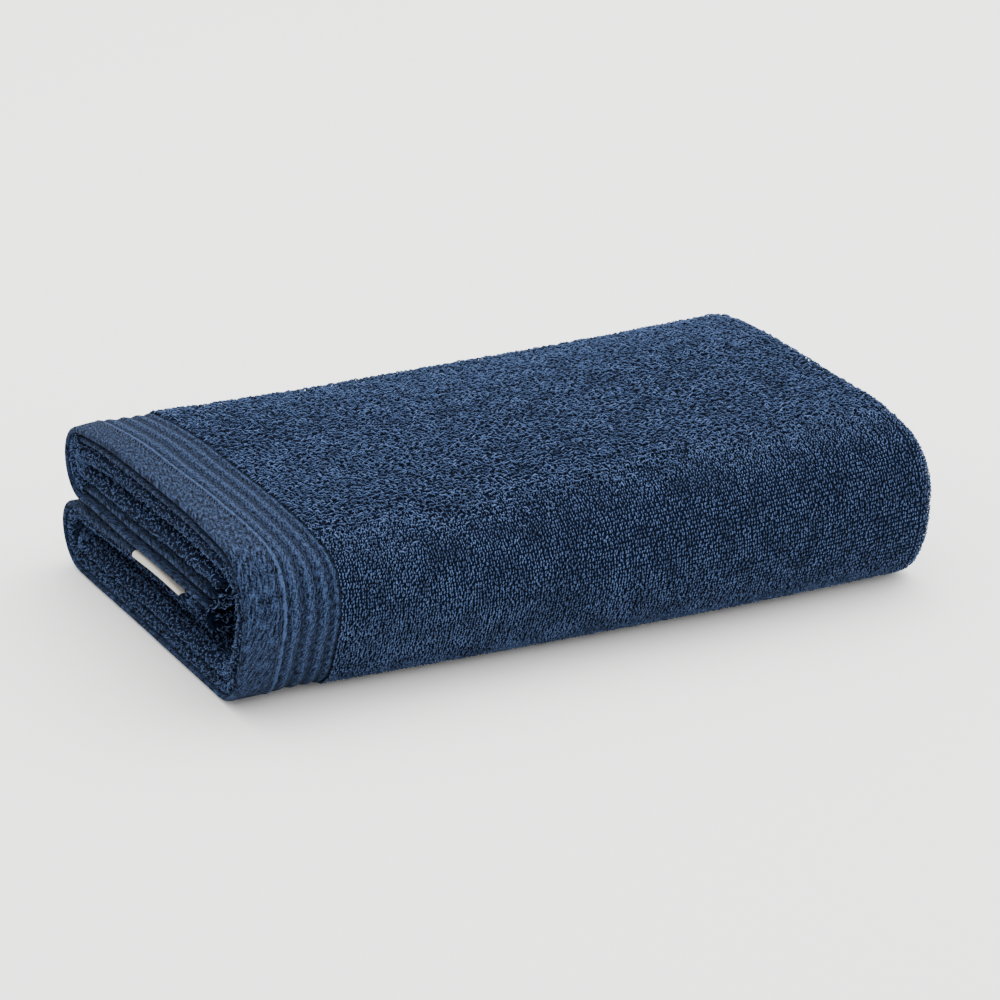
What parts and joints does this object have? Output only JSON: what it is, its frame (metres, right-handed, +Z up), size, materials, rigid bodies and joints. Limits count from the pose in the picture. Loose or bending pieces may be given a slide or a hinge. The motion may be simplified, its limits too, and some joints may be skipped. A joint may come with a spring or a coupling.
{
  "type": "folded bath sheet",
  "caption": "Terry bath sheet folded into a compact bundle, with ribbed woven borders, plain hems and a blank woven label.",
  "frame": {"origin": "middle of the bundle's bounding box, on the surface it lies on", "axes": "+X along the folded length from the hem end to the folded end, -Y towards the big front fold, +Z up"},
  "size_m": [0.3858, 0.2396, 0.088],
  "materials": {
    "terry": "looped cotton pile",
    "label": "smooth woven ribbon"
  },
  "bodies": {
    "root": {"terry_sheet": "terry", "woven_label": "label"}
  },
  "joints": []
}
